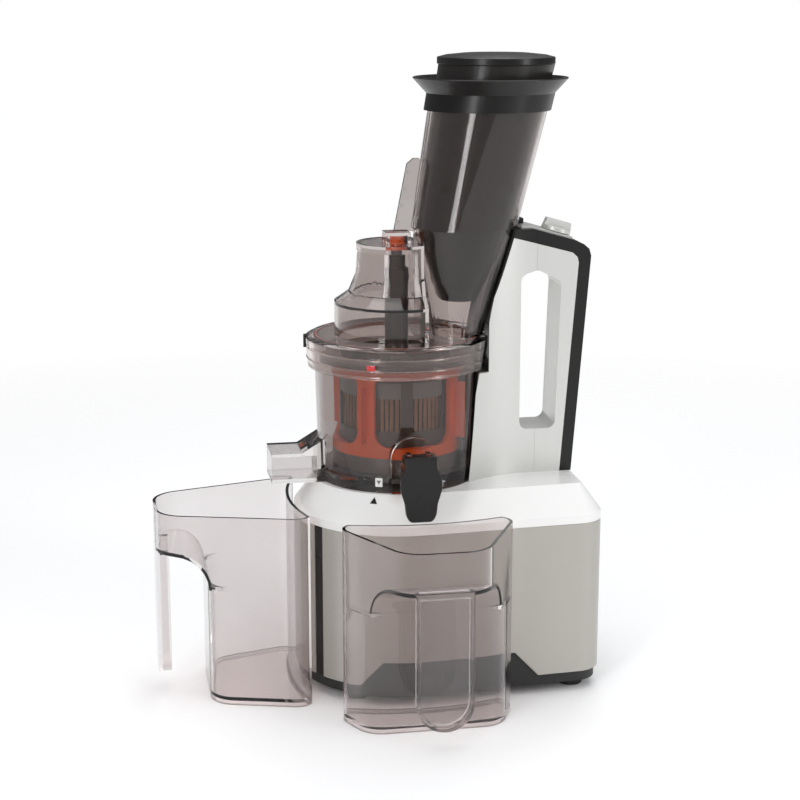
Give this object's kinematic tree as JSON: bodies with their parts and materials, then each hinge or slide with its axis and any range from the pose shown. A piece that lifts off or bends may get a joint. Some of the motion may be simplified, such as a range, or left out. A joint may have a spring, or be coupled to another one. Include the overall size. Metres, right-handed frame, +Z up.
{
  "type": "cold press juicer",
  "caption": "Slow juicer: motor base with handle tower, lift-off smoky bowl and lid, leaning feed chute with pusher, hinged spout cap, two clear jugs.",
  "frame": {"origin": "on the floor plane, under the middle of the box", "axes": "+Z up, -Y toward the side with the juice spout, -X toward the pulp spout, +X toward the handle tower"},
  "size_m": [0.3224, 0.232, 0.4582],
  "materials": {
    "black_plastic": "satin moulded",
    "rubber_black": "matt",
    "steel": "turned",
    "sintered_steel": "sintered",
    "panel_grey": "satin moulded",
    "white_plastic": "gloss moulded",
    "silver_grey": "satin painted",
    "cast_housing": "glass-filled",
    "board_green": "solder mask",
    "smoky_clear": "clear smoky plastic",
    "orange_silicone": "satin silicone",
    "orange_plastic": "moulded",
    "strainer_grey": "moulded",
    "mesh_steel": "etched sheet",
    "auger_black": "polished",
    "jug_clear": "clear grey plastic",
    "red_mark": "printed",
    "pusher_brown": "satin moulded"
  },
  "bodies": {
    "base": {"bottom_tray": "black_plastic", "rubber_feet": "rubber_black", "foot_screws": "steel", "front_panel": "panel_grey", "near_panel": "panel_grey", "far_panel": "panel_grey", "seam_strips": "black_plastic", "rear_panel": "black_plastic", "top_shell": "white_plastic", "deck_mark": "black_plastic", "tower_core": "black_plastic", "near_tower_cover": "silver_grey", "far_tower_cover": "silver_grey", "tower_top_plate": "silver_grey", "switch_module": "black_plastic", "motor_stator": "steel", "gearbox_base": "cast_housing", "gearbox_cover": "cast_housing", "gearbox_screws": "steel", "spindle_bearing": "steel", "spindle_seal": "orange_silicone", "control_board": "board_green", "cord_gland": "black_plastic"},
    "knob": {"switch_knob": "silver_grey"},
    "rotor": {"motor_rotor": "steel", "cooling_fan": "black_plastic", "motor_pinion": "sintered_steel"},
    "intermediate": {"intermediate_gear": "sintered_steel"},
    "spindle": {"output_gear": "sintered_steel", "drive_spindle": "steel"},
    "bowl": {"bowl": "smoky_clear", "bowl_seal": "orange_silicone", "pulp_plug": "orange_silicone", "bowl_mark": "white_plastic", "idler_pins": "steel", "strainer_frame": "strainer_grey", "strainer_mesh": "mesh_steel", "cap_hinge_pin": "steel"},
    "auger": {"auger": "auger_black", "auger_gear": "white_plastic", "hex_socket": "steel"},
    "idler_near": {"idler_gear_near": "white_plastic"},
    "idler_far": {"idler_gear_far": "white_plastic"},
    "wiper": {"wiper_frame": "orange_plastic", "wiper_blades": "orange_silicone"},
    "smart_cap": {"juice_cap": "black_plastic", "cap_seal": "orange_silicone"},
    "lid": {"lid": "smoky_clear", "lid_gasket": "orange_silicone", "hopper_rim": "black_plastic", "lid_fin": "jug_clear", "axis_bush": "orange_silicone", "lid_catches": "black_plastic", "lid_mark": "red_mark"},
    "pusher": {"pusher": "pusher_brown", "pusher_cap": "black_plastic"},
    "juice_jug": {"juice_jug": "jug_clear"},
    "pulp_jug": {"pulp_jug": "jug_clear"}
  },
  "joints": [
    {"name": "spindle_turn", "type": "hinge", "parent": "base", "child": "spindle", "pos_m": [0.01775, 0.04, 0.12], "axis": [0, 0, 1], "continuous": true},
    {"name": "intermediate_turn", "type": "hinge", "parent": "base", "child": "intermediate", "pos_m": [0.06275, 0.04, 0.115], "axis": [0, 0, 1], "continuous": true},
    {"name": "rotor_turn", "type": "hinge", "parent": "base", "child": "rotor", "pos_m": [0.09875, 0.04, 0.07], "axis": [0, 0, 1], "continuous": true},
    {"name": "auger_turn", "type": "hinge", "parent": "bowl", "child": "auger", "pos_m": [0.01775, 0.04, 0.2], "axis": [0, 0, 1], "continuous": true},
    {"name": "idler_near_turn", "type": "hinge", "parent": "bowl", "child": "idler_near", "pos_m": [0.01775, 0.01, 0.17], "axis": [0, 0, 1], "continuous": true},
    {"name": "idler_far_turn", "type": "hinge", "parent": "bowl", "child": "idler_far", "pos_m": [0.01775, 0.07, 0.17], "axis": [0, 0, 1], "continuous": true},
    {"name": "wiper_turn", "type": "hinge", "parent": "bowl", "child": "wiper", "pos_m": [0.01775, 0.04, 0.2], "axis": [0, 0, 1], "continuous": true},
    {"name": "bowl_lift", "type": "slide", "parent": "base", "child": "bowl", "axis": [0, 0, 1], "range_m": [0, 0.12]},
    {"name": "lid_lift", "type": "slide", "parent": "bowl", "child": "lid", "axis": [0, 0, 1], "range_m": [0, 0.12]},
    {"name": "pusher_slide", "type": "slide", "parent": "lid", "child": "pusher", "axis": [0.1942, 0, 0.981], "range_m": [0, 0.12]},
    {"name": "cap_hinge", "type": "hinge", "parent": "bowl", "child": "smart_cap", "pos_m": [0.01775, -0.047, 0.187], "axis": [1, 0, 0], "range_deg": [-80, 0]},
    {"name": "knob_turn", "type": "hinge", "parent": "base", "child": "knob", "pos_m": [0.13475, 0.04, 0.32826], "axis": [0.2756, 0, 0.9613], "range_deg": [-40, 40]},
    {"name": "juice_jug_slide", "type": "slide", "parent": "base", "child": "juice_jug", "axis": [0, -1, 0], "range_m": [0, 0.1]},
    {"name": "pulp_jug_slide", "type": "slide", "parent": "base", "child": "pulp_jug", "axis": [-1, 0, 0], "range_m": [0, 0.1]}
  ],
  "couplings": [
    {"joint": "intermediate_turn", "follows": "spindle_turn", "ratio": -4.1429},
    {"joint": "rotor_turn", "follows": "spindle_turn", "ratio": 20.714},
    {"joint": "auger_turn", "follows": "spindle_turn", "ratio": 1},
    {"joint": "idler_near_turn", "follows": "spindle_turn", "ratio": -1.5},
    {"joint": "idler_far_turn", "follows": "spindle_turn", "ratio": -1.5},
    {"joint": "wiper_turn", "follows": "spindle_turn", "ratio": -0.42857}
  ]
}
